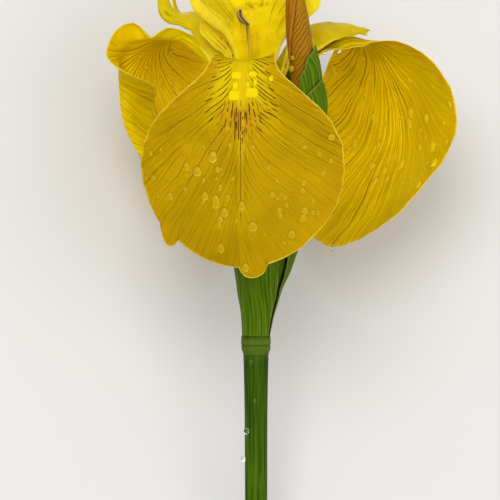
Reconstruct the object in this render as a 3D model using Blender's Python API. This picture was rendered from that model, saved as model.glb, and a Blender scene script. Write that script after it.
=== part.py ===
"""A yellow flag iris flower on its cut stem, lying on its back, with a second bud in the same spathe.

Lengths are millimetres in the flower's own frame: x to the right, y up the stem, z out of the front petal, with
the origin on the flower's axis at the height where the petals spread. An empty lays the whole flower down.
"""

from math import radians

import bmesh
import bpy
import numpy as np
from mathutils import Matrix

MM = 0.001

# Driving dimensions
PETAL_THICKNESS = 0.7
BRACT_THICKNESS = 0.7
SEAT_GAP = 0.3
AXIS_X = 0.5
MOUTH = -13.0
NODE = -69.5
CUT_END = -166.0
STEM_RADIUS = 2.8
NODE_RADIUS = 3.6
TUBE_BASE = -26.0

# How the flower lies: turned back about x, then rolled about its stem, onto two petals and the stem's cut end
LIE_BACK = 14.5
ROLL = -5.06

# Where the three large outer petals (falls) and their arms point, in degrees round the stem from the front
FRONT, RIGHT, LEFT = -8.0, 128.0, -126.0

BUD_PATH = [
    (1.3, -69.2, 0.6), (2.8, -60, 1.0), (5.8, -48, 3.2), (9.2, -32, 7.5), (11.3, -15, 11.8),
    (11.3, -4, 14), (10.4, 5, 15.2), (9.4, 16, 16.2), (8.6, 27, 16.5),
]


# Curves and profiles

def ease(x, start, end):
    """Smooth step from 0 to 1 between start and end."""
    u = np.clip((x - start) / (end - start), 0, 1)
    return u * u * (3 - 2 * u)


def smooth_path(points, count=600):
    """Catmull-Rom curve through the points, at equal steps of its length."""
    p = np.asarray(points, float)
    p = np.vstack([2 * p[0] - p[1], p, 2 * p[-1] - p[-2]])
    u = np.linspace(0, 1, 40, endpoint=False)[:, None]
    spans = [
        b + 0.5 * ((c - a) * u + (2 * a - 5 * b + 4 * c - d) * u**2 + (3 * b - a - 3 * c + d) * u**3)
        for a, b, c, d in zip(p, p[1:], p[2:], p[3:])
    ]
    dense = np.vstack([*spans, p[-2:-1]])
    length = np.append(0, np.cumsum(np.linalg.norm(np.diff(dense, axis=0), axis=1)))
    at = np.linspace(0, length[-1], count)
    return np.stack([np.interp(at, length, column) for column in dense.T], 1)


def read_path(path, s):
    """The coordinates of the path at the shares s of its length."""
    at = np.linspace(0, 1, len(path))
    return [np.interp(s, at, column) for column in path.T]


def profile(*pairs):
    """A smooth value of s through (s, value) pairs."""
    path = smooth_path(pairs)
    return lambda s: np.interp(s, path[:, 0], path[:, 1])


def fall_outline(claw, half, upper, lower, far=None):
    """Half width of a fall: a strap widening to claw, then a round blade, upper and lower from its widest line,
    and half wide, or far on its t < 0 side."""
    def half_width(s, t, length):
        along = s * length - (length - lower)
        x = np.clip(np.where(along < 0, -along / upper, along / lower), 0, 1)
        blade = np.where(t < 0, far or half, half) * np.sqrt(1 - x**2)
        strap = np.where(along < 0, claw * (0.36 + 0.64 * s / (1 - lower / length)), 0)
        return np.cbrt(blade**3 + strap**3)
    return half_width


# Surfaces, each a grid of points

def petal(midrib, azimuth, half_width, slope, lift=None, reach=None, rows=22, columns=18, tip=1.6):
    """Grid of a petal. The midrib's (outward, up) points are turned to the azimuth. Each row crosses the midrib
    as an arc: half_width(s, t, length) long each way, with slope(s, t) its angle at t from -1 to 1, so that it
    keeps its width where it folds. lift(s, t, b) raises it along its normal, where b is the length along it, and
    reach(t) shortens it to lobes."""
    s = 1 - (1 - np.linspace(0, 1, rows + 1)) ** tip
    s, t = np.meshgrid(s, np.linspace(-1, 1, columns + 1), indexing="ij")
    if reach:
        s = s * reach(t)
    path = smooth_path(midrib)
    length = np.linalg.norm(np.diff(path, axis=0), axis=1).sum()
    out, up = read_path(path, s)
    step_out, step_up = read_path(np.gradient(path, axis=0), s)
    step = np.hypot(step_out, step_up)
    width, angle = half_width(s, t, length), slope(s, t)
    across = from_middle(np.cos(angle) * width) * 2 / columns
    rise = from_middle(np.sin(angle) * width) * 2 / columns
    if lift:
        rise = rise + lift(s, t, s * length)
    out, up = out - rise * step_up / step, up + rise * step_out / step
    turn = radians(azimuth)
    return np.stack([
        AXIS_X + out * np.sin(turn) + across * np.cos(turn),
        up,
        out * np.cos(turn) - across * np.sin(turn),
    ], -1)


def from_middle(values):
    """Running sum along each row, zero at its middle column."""
    sums = np.cumsum(0.5 * (values[:, 1:] + values[:, :-1]), axis=1)
    sums = np.concatenate([np.zeros_like(sums[:, :1]), sums], 1)
    return sums - sums[:, [sums.shape[1] // 2]]


def sheath(points, radius, spread, facing, keel=0.06, rows=24, columns=12, tip=1.5):
    """Grid of a bract wrapped round a path: radius(s), spread(s) degrees each way of facing(s), keeled outside."""
    s = 1 - (1 - np.linspace(0, 1, rows + 1)) ** tip
    s, t = np.meshgrid(s, np.linspace(-1, 1, columns + 1), indexing="ij")
    x, y, z = read_path(smooth_path(points), s)
    r = radius(s) * (1 + keel * (1 - np.abs(t)) ** 2 * ease(s, 0, 0.5))
    turn = np.radians(facing(s) + spread(s) * t)
    return np.stack([x + r * np.sin(turn), y, z + r * np.cos(turn)], -1)


def rings(points, radius, rows=16, sides=14, flute=None):
    """Rings round a path that runs nearly along y: radius(s), times flute(angle) where there is one."""
    s, turn = np.meshgrid(np.linspace(0, 1, rows + 1), np.arange(sides) * 2 * np.pi / sides, indexing="ij")
    x, y, z = read_path(smooth_path(points), s)
    r = radius(s) * (flute(turn) if flute else 1)
    return np.stack([x + r * np.sin(turn), y, z + r * np.cos(turn)], -1)


# Objects

def material(name, colour, roughness=0.5):
    made = bpy.data.materials.new(name)
    made.use_nodes = True
    shader = made.node_tree.nodes["Principled BSDF"]
    shader.inputs["Base Color"].default_value = (*colour, 1)
    shader.inputs["Roughness"].default_value = roughness
    shader.inputs["Metallic"].default_value = 0
    return made


def add_object(name, points, faces, look, parent):
    mesh = bpy.data.meshes.new(name)
    mesh.from_pydata((points * MM).tolist(), [], faces)
    tidy = bmesh.new()
    tidy.from_mesh(mesh)
    bmesh.ops.remove_doubles(tidy, verts=tidy.verts, dist=0.00005)
    bmesh.ops.triangulate(tidy, faces=tidy.faces)
    bmesh.ops.recalc_face_normals(tidy, faces=tidy.faces)
    tidy.to_mesh(mesh)
    tidy.free()
    mesh.shade_smooth()
    mesh.materials.append(look)
    made = bpy.data.objects.new(name, mesh)
    made.parent = parent
    bpy.context.scene.collection.objects.link(made)
    return made


def grid_faces(rows, columns, closed=False):
    wide = columns if closed else columns + 1
    return [
        (r * wide + c, r * wide + (c + 1) % wide, (r + 1) * wide + (c + 1) % wide, (r + 1) * wide + c)
        for r in range(rows)
        for c in range(columns)
    ]


def add_blade(name, grid, thickness, look, parent):
    """A grid as a blade of even thickness, split into the same triangles on both faces."""
    rows, columns = grid.shape[0] - 1, grid.shape[1] - 1
    made = add_object(name, grid.reshape(-1, 3), grid_faces(rows, columns), look, parent)
    solid = made.modifiers.new("thickness", "SOLIDIFY")
    solid.thickness = thickness * MM
    solid.offset = 0


def add_solid(name, loops, look, parent):
    """Rings joined into one closed body with flat ends."""
    rows, sides = loops.shape[0] - 1, loops.shape[1]
    ends = [tuple(range(sides)), tuple(range(rows * sides, (rows + 1) * sides))]
    faces = grid_faces(rows, sides, closed=True) + ends
    add_object(name, loops.reshape(-1, 3), faces, look, parent)


# The three falls

def front_outline(s, t, length):
    """Half width of the front fall: a broad claw that clasps the style arm, then shoulders down to the widest line,
    and a half circle below it."""
    below = np.clip(s * length - (length - 25), 0, 25)
    claw = profile(
        (0, 2.7), (9, 4.4), (15, 6.6), (20, 7.4), (24, 7.8), (26.3, 8.3), (28.7, 9.6), (31.7, 12.8), (34.5, 16),
        (37.2, 19), (40, 21.5), (42.5, 23.2), (46, 24.6), (50.7, 25), (54, 25),
    )
    return np.where(below > 0, np.sqrt(25**2 - below**2), claw(s * length))


def left_outline(s, t, length):
    """Half width of the left fall, drawn in on its near side to the notch between claw and shoulder."""
    whole = fall_outline(6.5, 21, 20, 42, 26)(s, t, length)
    notched = profile(
        (0, 2.4), (18, 4.0), (24, 4.9), (26.5, 7), (28.5, 9), (30.2, 9.2), (31, 10.4), (32, 12.6), (34.3, 16.2),
        (37, 18.6), (40, 20.5), (44, 21.5), (50, 23),
    )
    return np.where(t > 0, np.minimum(whole, notched(s * length)), whole)


def add_falls(look, parent):
    def ruffle(s, t, b):
        return 0.8 * np.abs(t) ** 3 * np.sin(14 * s + 0.8 * np.sign(t)) * ease(s, 0.35, 0.6)

    def trough(s, t, cup, far_cup=None):
        bend = np.where(t > 0, far_cup, cup) if far_cup else cup
        return (1.1 * (1 - ease(s, 0.13, 0.34)) - bend * ease(s, 0.35, 0.6)) * t

    def clasping(s, t):
        return 1.1 * (1 - ease(s, 0.13, 0.42)) * t - 0.3 * ease(s, 0.42, 0.6) * t

    def drooping_lift(s, t, b):
        return ruffle(s, t, b) - 2.6 * ease(-t, 0.1, 1) * ease(b, 20, 28) * (1 - ease(b, 33, 39))

    def curled(s, t):
        return trough(s, t, 0.1) - 2.9 * ease(s, 0.41, 0.62) * ease(t, 0.42, 0.68)

    def curled_lift(s, t, b):
        hump = 3.3 * ease(b, 13, 19) * (1 - ease(b, 26.4, 29.6)) * ease(t, 0.1, 0.9)
        shoulder = 3.7 * ease(b, 30.4, 32) * (1 - ease(b, 32.5, 38)) * ease(t, 0.6, 1)
        return ruffle(s, t, b) * (t < 0) + hump + shoulder

    front = [
        (5, MOUTH), (10, -8.3), (16, -4.2), (22, -1.8), (27, -3), (29.5, -7.6), (30.2, -17), (30.7, -29),
        (30, -41), (27.5, -51.7),
    ]
    right = [
        (5, MOUTH), (11, -6), (18, 1), (27, 6.5), (34.5, 6.3), (40.2, 0.8), (43.2, -9), (42.7, -20),
        (37.3, -31), (30.3, -40.5), (24, -46.4),
    ]
    left = [
        (5, MOUTH), (10, -6), (17, 1), (24, 5.5), (30, 6), (34.5, 2), (36.3, -6), (35, -16),
        (29, -27), (24, -36), (20, -42),
    ]
    right_outline = fall_outline(6.5, 26.5, 26, 37.5)
    falls = {
        "fall_front": (front, FRONT, front_outline, clasping, ruffle, 24),
        "fall_right": (right, RIGHT, right_outline, lambda s, t: trough(s, t, 0.1, 0.5), drooping_lift, 24),
        "fall_left": (left, LEFT, left_outline, curled, curled_lift, 30),
    }
    for name, (midrib, azimuth, outline, slope, lift, rows) in falls.items():
        grid = petal(midrib, azimuth, outline, slope, lift, rows=rows)
        add_blade(name, grid, PETAL_THICKNESS, look, parent)


# The three small standards

def add_standards(look, parent):
    """Each has an azimuth, a twist of its face in radians and its midrib's (outward, up) points."""
    standards = {
        "standard_right": (60.0, 0.0, [(5, MOUTH), (7, -6), (9.6, 2), (11, 10), (11, 18), (10, 25)]),
        "standard_left": (-70.0, 1.1, [(5, MOUTH), (5.4, -6), (6.9, 1.8), (9.8, 5), (12.8, 8), (15.4, 10.4)]),
        "standard_back": (182.5, 0.0, [(5, MOUTH), (6, -5), (7.5, 3), (9.5, 11), (10, 18), (9, 24)]),
    }
    half = profile((0, 1.5), (0.25, 1.6), (0.5, 2.2), (0.7, 3), (0.88, 2.7), (1, 0))
    for name, (azimuth, twist, midrib) in standards.items():
        grid = petal(
            midrib, azimuth, lambda s, t, length: np.maximum(half(s), 0),
            lambda s, t: 0.5 * t + twist * ease(s, 0.3, 0.6), rows=14, columns=6, tip=1.4,
        )
        add_blade(name, grid, PETAL_THICKNESS, look, parent)


# The three style arms, each over a fall and ending in two crest lobes

def crest(t):
    """Length share at t: a notch in the middle and round outer corners."""
    return 1 - 0.24 * np.exp(-((t / 0.2) ** 2)) - 0.2 * np.abs(t) ** 6


def add_style_arms(look, parent):
    base = MOUTH + SEAT_GAP
    arms = {
        "style_arm_front": (
            [(1.9, base), (3.5, -5), (5.5, 2), (7.5, 9), (9, 15), (10, 21), (9.5, 27)], -4,
            profile((0, 1.3), (0.2, 3.2), (0.36, 5), (0.56, 8), (0.69, 14), (0.8, 17), (0.9, 16.5), (1, 14)),
            0.35, 16, 14,
        ),
        "style_arm_right": (
            [(1.9, base), (5, -4), (10, 3.5), (17, 8.8), (25, 10.4), (30.5, 10), (33.4, 9.6)], RIGHT,
            profile((0, 1.3), (0.2, 3), (0.45, 6.4), (0.7, 8.2), (0.9, 7.8), (1, 6.6)), 1.1, 16, 10,
        ),
        "style_arm_left": (
            [(1.9, base), (4, -4), (8.5, 5), (14, 10.5), (20, 12.3), (25, 12.8), (27.2, 15.5), (27.8, 20), (27.2, 26)],
            LEFT,
            profile((0, 1.3), (0.14, 4), (0.3, 8), (0.45, 8.8), (0.6, 7.6), (0.74, 6), (0.86, 4.4), (1, 3.6)),
            1.2, 18, 10,
        ),
    }
    for name, (midrib, azimuth, half, vault, rows, columns) in arms.items():
        grid = petal(
            midrib, azimuth, lambda s, t, length: half(s), lambda s, t: -vault * t, reach=crest,
            rows=rows, columns=columns, tip=1,
        )
        add_blade(name, grid, PETAL_THICKNESS, look, parent)


# A stamen under each style arm: a thread and a two-lobed anther

def along_radius(azimuth, points):
    """(outward, up) points turned to the azimuth."""
    turn = radians(azimuth)
    return [(AXIS_X + out * np.sin(turn), up, out * np.cos(turn)) for out, up in points]


def add_stamens(thread_look, anther_look, parent):
    base = MOUTH + SEAT_GAP
    threads = {
        "front": (-14, [(3.9, base), (5.6, -5), (8.2, 2), (10.3, 7.2)], [(-2.0, 7.9, 10.8), (-4.5, 11.4, 11.4)]),
        "right": (
            RIGHT, [(3.9, base), (6.8, -5), (12, 1), (18, 5)], along_radius(RIGHT, [(18.9, 5.6), (27, 7.6)]),
        ),
        "left": (LEFT, [(3.9, base), (6, -5), (10.5, 1), (15, 5.6)], along_radius(LEFT, [(15.8, 6.3), (23, 9.2)])),
    }
    lobes = lambda turn: 1 + 0.22 * np.cos(2 * turn)
    for side, (azimuth, thread, anther) in threads.items():
        grid = rings(along_radius(azimuth, thread), lambda s: 0.5 + 0 * s, rows=8, sides=6)
        add_solid(f"filament_{side}", grid, thread_look, parent)
        grid = rings(
            anther, profile((0, 0.5), (0.15, 0.95), (0.8, 0.9), (1, 0.4)), rows=7, sides=10, flute=lobes,
        )
        add_solid(f"anther_{side}", grid, anther_look, parent)


# What carries the petals: stem, ovary and flower tube

def add_stem(look, parent):
    radius = profile(
        (0, STEM_RADIUS), (0.7, STEM_RADIUS), (0.93, STEM_RADIUS + 0.3), (0.965, NODE_RADIUS),
        (0.985, NODE_RADIUS + 0.1), (1, NODE_RADIUS),
    )
    grid = rings([(0, CUT_END, 0), (0, -118, 0), (0, NODE, 0)], radius, rows=30, sides=14)
    add_solid("stem", grid, look, parent)


def add_ovary(ovary_look, tube_look, parent):
    axis = [(-1.4, NODE + SEAT_GAP, -0.4), (-1.2, -60, -0.3), (0, -48, 0), (AXIS_X, -38, 0),
            (AXIS_X, TUBE_BASE - SEAT_GAP, 0)]
    radius = profile((0, 0.9), (0.2, 1.0), (0.36, 1.7), (0.55, 2.8), (0.85, 2.7), (1, 2.3))
    corners = lambda turn: 1 + 0.07 * np.cos(3 * turn)
    add_solid("ovary", rings(axis, radius, rows=16, sides=12, flute=corners), ovary_look, parent)
    axis = [(AXIS_X, TUBE_BASE, 0), (AXIS_X, MOUTH - SEAT_GAP, 0)]
    radius = profile((0, 2.3), (0.45, 2.9), (0.8, 4.6), (1, 6.2))
    add_solid("flower_tube", rings(axis, radius, rows=8, sides=18), tube_look, parent)


# The second bud and the green bracts round both

def add_bud(look, parent):
    radius = profile(
        (0, 0.5), (0.2, 0.9), (0.4, 1.7), (0.58, 2.5), (0.72, 3.05), (0.8, 3.0), (0.89, 2.1), (0.96, 1), (1, 0.25),
    )
    add_solid("bud", rings(BUD_PATH, radius, rows=22, sides=12), look, parent)


def add_bracts(look, parent):
    low = [(1.3, NODE + SEAT_GAP, 0.6), *BUD_PATH[1:6]]
    bud_bract = sheath(
        [*low, (10.7, 2.6, 14.9)],
        profile((0, 1.1), (0.2, 1.9), (0.5, 3.3), (0.75, 4.2), (0.9, 4.35), (1, 3.6)),
        profile((0, 120), (0.4, 150), (0.72, 155), (0.87, 138), (0.915, 116), (0.958, 80), (1, 1)),
        profile((0, 150), (0.5, 138), (0.87, 126), (0.958, 103), (1, 86)),
    )
    inner = sheath(
        [*low[:-1], (11.3, -6, 13.6)],
        profile((0, 2.05), (0.15, 2.7), (0.35, 4.3), (0.7, 5.4), (0.88, 5.6), (1, 5.4)),
        profile((0, 45), (0.15, 60), (0.4, 95), (0.75, 110), (0.88, 95), (0.94, 62), (1, 1)),
        profile((0, 140), (0.5, 108), (0.85, 84), (1, 58)),
    )
    outer = sheath(
        [(0.1, NODE + SEAT_GAP, 0), (0.6, -60, 0.6), (0.9, -50, 1.8), (0, -38, 2.2), (-1, -24, 2)],
        profile((0, 3.35), (0.15, 4.1), (0.3, 5.6), (0.5, 6.6), (0.8, 7.4), (1, 7.6)),
        profile((0, 100), (0.25, 98), (0.45, 80), (0.75, 50), (1, 1)),
        lambda s: -40 + 0 * s,
    )
    for name, grid in {"bud_bract": bud_bract, "inner_spathe": inner, "outer_spathe": outer}.items():
        add_blade(name, grid, BRACT_THICKNESS, look, parent)


# Laying it down

def lay_down(flower):
    """Turns the flower onto its back, and sets the middle of its box's lowest face at the world's origin."""
    flower.matrix_world = Matrix.Rotation(radians(LIE_BACK), 4, "X") @ Matrix.Rotation(radians(ROLL), 4, "Y")
    bpy.context.view_layer.update()
    graph = bpy.context.evaluated_depsgraph_get()
    corners = []
    for piece in flower.children:
        evaluated = piece.evaluated_get(graph)
        mesh = evaluated.to_mesh()
        points = np.empty(len(mesh.vertices) * 3)
        mesh.vertices.foreach_get("co", points)
        matrix = np.array(evaluated.matrix_world)
        points = points.reshape(-1, 3) @ matrix[:3, :3].T
        corners += [points.min(axis=0), points.max(axis=0)]
        evaluated.to_mesh_clear()
    low, high = np.min(corners, axis=0), np.max(corners, axis=0)
    flower.location = (-(low[0] + high[0]) / 2, -(low[1] + high[1]) / 2, -low[2])


def build():
    for old in list(bpy.data.objects):
        bpy.data.objects.remove(old)
    flower = bpy.data.objects.new("flower", None)
    bpy.context.scene.collection.objects.link(flower)
    petal_yellow = material("petal_yellow", (0.50, 0.30, 0.004), 0.45)
    pale_yellow = material("pale_yellow", (0.69, 0.45, 0.006), 0.4)
    anther_brown = material("anther_brown", (0.09, 0.035, 0.008), 0.6)
    bract_green = material("bract_green", (0.075, 0.14, 0.004), 0.5)
    stem_green = material("stem_green", (0.045, 0.10, 0.003), 0.45)
    bud_orange = material("bud_orange", (0.37, 0.16, 0.004), 0.5)
    add_falls(petal_yellow, flower)
    add_standards(pale_yellow, flower)
    add_style_arms(pale_yellow, flower)
    add_stamens(pale_yellow, anther_brown, flower)
    add_stem(stem_green, flower)
    add_ovary(bract_green, petal_yellow, flower)
    add_bud(bud_orange, flower)
    add_bracts(bract_green, flower)
    lay_down(flower)


build()
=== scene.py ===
"""The looks of a yellow flag iris flower, cut with its stem and laid down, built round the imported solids.

Lengths are millimetres in the flower's own frame: x to the right, y up the stem, z out of the front petal,
with the origin on the flower's axis at the height where the petals spread. place() turns them into the
model's metres.
"""

from math import radians

import bpy
import numpy as np
from mathutils import Matrix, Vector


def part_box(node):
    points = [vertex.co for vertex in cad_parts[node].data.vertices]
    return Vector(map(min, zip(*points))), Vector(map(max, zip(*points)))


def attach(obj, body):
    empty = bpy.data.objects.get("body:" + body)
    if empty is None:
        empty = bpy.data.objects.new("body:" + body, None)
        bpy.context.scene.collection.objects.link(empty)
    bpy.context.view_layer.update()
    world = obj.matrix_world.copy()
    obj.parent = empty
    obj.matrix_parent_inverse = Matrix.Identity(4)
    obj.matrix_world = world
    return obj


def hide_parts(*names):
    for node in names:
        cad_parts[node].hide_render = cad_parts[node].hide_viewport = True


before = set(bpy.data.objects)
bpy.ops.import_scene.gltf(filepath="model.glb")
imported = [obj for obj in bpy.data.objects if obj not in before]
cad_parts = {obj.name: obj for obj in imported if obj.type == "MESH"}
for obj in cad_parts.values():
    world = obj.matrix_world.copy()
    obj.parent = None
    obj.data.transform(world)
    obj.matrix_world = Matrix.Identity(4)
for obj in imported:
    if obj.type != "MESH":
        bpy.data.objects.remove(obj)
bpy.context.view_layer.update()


# The stem: one solid green stalk, finely ribbed along its length, swollen at the joint that carries the
# flower's sheath. It grew in one piece and was cut straight across at its foot, where the paler pith shows.

MM = 0.001
NODE, CUT_END = -69.5, -166.0  # heights of the joint and of the cut foot
STEM_RADIUS, NODE_RADIUS = 2.8, 3.6
RIBS = 22
GROWN_IN = 0.6  # how far a part runs into the one that it grows on
LIE_BACK, ROLL = 14.5, -5.06  # degrees that lay the upright flower down on its three low points


def ease(x, start, end):
    """Smooth step from 0 at start to 1 at end: 3 u^2 - 2 u^3."""
    u = np.clip((x - start) / (end - start), 0, 1)
    return u * u * (3 - 2 * u)


def smooth_path(points, count=600):
    """Catmull-Rom curve through the points, at equal steps of its length."""
    p = np.asarray(points, float)
    p = np.vstack([2 * p[0] - p[1], p, 2 * p[-1] - p[-2]])
    u = np.linspace(0, 1, 40, endpoint=False)[:, None]
    spans = [
        b + 0.5 * ((c - a) * u + (2 * a - 5 * b + 4 * c - d) * u**2 + (3 * b - a - 3 * c + d) * u**3)
        for a, b, c, d in zip(p, p[1:], p[2:], p[3:])
    ]
    dense = np.vstack([*spans, p[-2:-1]])
    length = np.append(0, np.cumsum(np.linalg.norm(np.diff(dense, axis=0), axis=1)))
    at = np.linspace(0, length[-1], count)
    return np.stack([np.interp(at, length, column) for column in dense.T], 1)


def path_length(path):
    """The sum of the steps between its points."""
    return np.linalg.norm(np.diff(path, axis=0), axis=1).sum()


def read_path(path, s):
    """The coordinates of the path at the shares s of its length."""
    at = np.linspace(0, 1, len(path))
    return [np.interp(s, at, column) for column in path.T]


def profile(*pairs):
    """A smooth value of s through (s, value) pairs."""
    path = smooth_path(pairs)
    return lambda s: np.interp(s, path[:, 0], path[:, 1])


def mottle(u, v, size, seed, waves=14):
    """A smooth random field from about -1 to 1: the mean of plane waves about size long, in seeded
    directions."""
    rng = np.random.default_rng(seed)
    total = 0 * u
    for heading, phase, stretch in rng.uniform(0, 1, (waves, 3)):
        k = 2 * np.pi / (size * (0.6 + 0.9 * stretch))
        way = 2 * np.pi * heading
        total = total + np.sin(k * (u * np.cos(way) + v * np.sin(way)) + 2 * np.pi * phase)
    return total / np.sqrt(waves / 2) / 1.6


def rings(points, radius, rows, sides, closing=(0.2, 0.6, 0.93)):
    """Rings round a path that runs nearly along y. At the share s of its length and the angle turn the
    point is path(s) + radius(s, turn) * (sin turn, 0, cos turn). Each end closes in over smaller rings."""
    inner = np.array(closing)
    shares = np.concatenate([0 * inner, np.linspace(0, 1, rows + 1), 0 * inner + 1])
    shrink = np.concatenate([inner, np.ones(rows + 1), inner[::-1]])
    s, turn = np.meshgrid(shares, np.arange(sides) * 2 * np.pi / sides, indexing="ij")
    path = smooth_path(points)
    x, y, z = read_path(path, s)
    r = radius(s, turn) * shrink[:, None]
    grid = np.stack([x + r * np.sin(turn), y, z + r * np.cos(turn)], -1)
    grain = np.stack([r * np.sin(turn), r * np.cos(turn), s * path_length(path)], -1)
    return grid, grain, s, 1 - shrink[:, None] + 0 * s


def ring_faces(grid):
    """Four-cornered faces between the rings, and one face over each end."""
    rows, sides = grid.shape[:2]
    r, c = np.meshgrid(np.arange(rows - 1), np.arange(sides), indexing="ij")
    here, above, n = r * sides, (r + 1) * sides, (c + 1) % sides
    quads = np.stack([here + c, here + n, above + n, above + c], -1).reshape(-1, 4)
    first, last = np.arange(sides)[::-1], np.arange(sides) + (rows - 1) * sides
    return quads, [first.tolist(), last.tolist()]


turn_down = np.array(Matrix.Rotation(radians(LIE_BACK), 3, "X") @ Matrix.Rotation(radians(ROLL), 3, "Y"))
stem_line = [(0, CUT_END, 0), (0, -118, 0), (0, NODE, 0)]
stem_girth = profile(
    (0, STEM_RADIUS), (0.7, STEM_RADIUS), (0.93, STEM_RADIUS + 0.3), (0.965, NODE_RADIUS),
    (0.985, NODE_RADIUS + 0.1), (1, NODE_RADIUS),
)
solid_stem = rings(stem_line, lambda s, turn: stem_girth(s), 30, 14, closing=())[0]
offset = np.array(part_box("stem")[0]) - (solid_stem.reshape(-1, 3) @ turn_down.T * MM).min(axis=0)


def place(points):
    """Flower millimetres to the model's metres: turned onto its back, then moved to where the solids lie."""
    return points @ turn_down.T * MM + offset


def piece(name, points, quads, look, caps=(), **values):
    """One object from points and faces that all wind one way, turned outwards where the volume they shut in
    is negative. Each named value, three numbers to a point, becomes an attribute that the material reads."""
    points = points.reshape(-1, 3)
    a, b, c, d = (points[quads[:, i]] for i in range(4))
    volume = np.sum(a * (np.cross(b, c) + np.cross(c, d)))
    faces = [*quads.tolist(), *caps]
    if volume < 0:
        faces = [face[::-1] for face in faces]
    mesh = bpy.data.meshes.new(name)
    mesh.from_pydata(place(points).tolist(), [], faces)
    for key, value in values.items():
        value = np.ascontiguousarray(value, np.float32).ravel()
        mesh.attributes.new(key, "FLOAT_VECTOR", "POINT").data.foreach_set("vector", value)
    mesh.shade_smooth()
    mesh.materials.append(look.material)
    made = bpy.data.objects.new(name, mesh)
    bpy.context.scene.collection.objects.link(made)
    return made


class Wire:
    """One value in a material's nodes. Sums, products and functions of wires add Math nodes."""

    def __init__(self, socket):
        self.socket = socket

    def math(self, operation, *others):
        return Wire(add_node(self.socket.id_data, "Math", (self, *others), operation=operation).outputs[0])

    def __add__(self, other):
        return self.math("ADD", other)

    def __sub__(self, other):
        return self.math("SUBTRACT", other)

    def __rsub__(self, other):
        return self.math("MULTIPLY_ADD", -1, other)

    def __mul__(self, other):
        return self.math("MULTIPLY", other)

    def __abs__(self):
        return self.math("ABSOLUTE")

    __radd__, __rmul__ = __add__, __mul__

    def rise(self, start, end):
        """Smooth step from 0 at start to 1 at end."""
        inputs = {"Value": self, "From Min": start, "From Max": end}
        step = add_node(self.socket.id_data, "MapRange", inputs, interpolation_type="SMOOTHSTEP")
        return Wire(step.outputs[0])


def add_node(tree, kind, inputs=(), **settings):
    """A new node. Inputs are wires or values, in order or by name."""
    made = tree.nodes.new("ShaderNode" + kind)
    for key, value in settings.items():
        setattr(made, key, value)
    for key, value in inputs.items() if isinstance(inputs, dict) else enumerate(inputs):
        if isinstance(value, Wire):
            tree.links.new(value.socket, made.inputs[key])
        else:
            made.inputs[key].default_value = value
    return made


class Look:
    """A material in the making. Constants go on the shader's own sockets, patterns come through its nodes."""

    def __init__(self, name, **constants):
        self.material = bpy.data.materials.new(name)
        self.material.use_nodes = True
        self.tree = self.material.node_tree
        self.shader = self.tree.nodes["Principled BSDF"]
        for key, value in constants.items():
            self.shader.inputs[key.replace("_", " ")].default_value = value

    def read(self, attribute):
        """The three values of one of the piece's attributes."""
        found = Wire(add_node(self.tree, "Attribute", attribute_name=attribute).outputs["Vector"])
        return [Wire(s) for s in add_node(self.tree, "SeparateXYZ", (found,)).outputs]

    def vector(self, x, y=0.0, z=0.0):
        """Three values joined into one."""
        return Wire(add_node(self.tree, "CombineXYZ", (x, y, z)).outputs[0])

    def noise(self, x, y=0.0, z=0.0, scale=1.0, detail=2.0):
        """Cloudy noise about 0.5, its waves about 1 / scale long, with detail halvings of them."""
        inputs = {"Vector": self.vector(x, y, z), "Scale": scale, "Detail": detail}
        return Wire(add_node(self.tree, "TexNoise", inputs).outputs[0])

    def chance(self, number):
        """An even random value from 0 to 1 for each whole number."""
        noise = add_node(self.tree, "TexWhiteNoise", {"W": number}, noise_dimensions="1D")
        return Wire(noise.outputs["Value"])

    def mix(self, share, first, second):
        """From the first colour at share 0 to the second at share 1."""
        first, second = ((*c, 1) if isinstance(c, tuple) else c for c in (first, second))
        return Wire(add_node(self.tree, "Mix", {0: share, 6: first, 7: second}, data_type="RGBA").outputs[2])

    def paint(self, colour, height=None, depth=0.0):
        """Plugs in the colour, and the relief where there is one: height times depth in millimetres."""
        self.tree.links.new(colour.socket, self.shader.inputs["Base Color"])
        if height:
            bump = add_node(self.tree, "Bump", {"Distance": depth * MM, "Height": height})
            self.tree.links.new(bump.outputs[0], self.shader.inputs["Normal"])


def stem_surface(s, turn):
    """The solid's girth, with fine ribs that wander along it and two scar rings at the joint."""
    ribs = 0.025 * np.cos(RIBS * turn + 2 * np.sin(6 * s)) + 0.03 * np.cos(3 * turn + 4 * s)
    scars = -0.16 * np.exp(-(((s - 0.948) / 0.0022) ** 2)) - 0.1 * np.exp(-(((s - 0.975) / 0.002) ** 2))
    return stem_girth(s) + ribs + scars


stem_look = Look(
    "stem_green", Roughness=0.42, Specular_IOR_Level=0.04, Subsurface_Weight=0.1, Subsurface_Scale=0.001,
)
x, z, along = stem_look.read("grain")
s, cut, _ = stem_look.read("place")
streak = stem_look.noise(x, z, along * 0.045, scale=1.6, detail=4)
blotch = stem_look.noise(x * 0.3, z * 0.3, along * 0.06, scale=1.0)
colour = stem_look.mix(streak.rise(0.35, 0.68), (0.017, 0.050, 0.0008), (0.062, 0.132, 0.0015))
colour = stem_look.mix(blotch.rise(0.5, 0.75) * 0.5, colour, (0.035, 0.090, 0.001))
# Painted shade: the stalk darker towards its top, where the flower shades it.
colour = stem_look.mix(s.rise(0.60, 0.92) * 0.45, colour, (0.014, 0.042, 0.0006))
joint = s.rise(0.93, 0.965) * (1 - s.rise(0.985, 1.0))
colour = stem_look.mix(joint * 0.45, colour, (0.14, 0.19, 0.02))
scar = (abs(s - 0.948)).rise(0.004, 0.0015) + (abs(s - 0.975)).rise(0.0035, 0.001)
colour = stem_look.mix(scar * 0.6, colour, (0.030, 0.045, 0.004))
pith = stem_look.noise(x, z, scale=5.0, detail=3)
foot = stem_look.mix(pith, (0.20, 0.28, 0.07), (0.42, 0.47, 0.20))
colour = stem_look.mix(cut.rise(0.02, 0.1), colour, foot)
stem_look.paint(colour, streak + pith * cut, 0.12)


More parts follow.
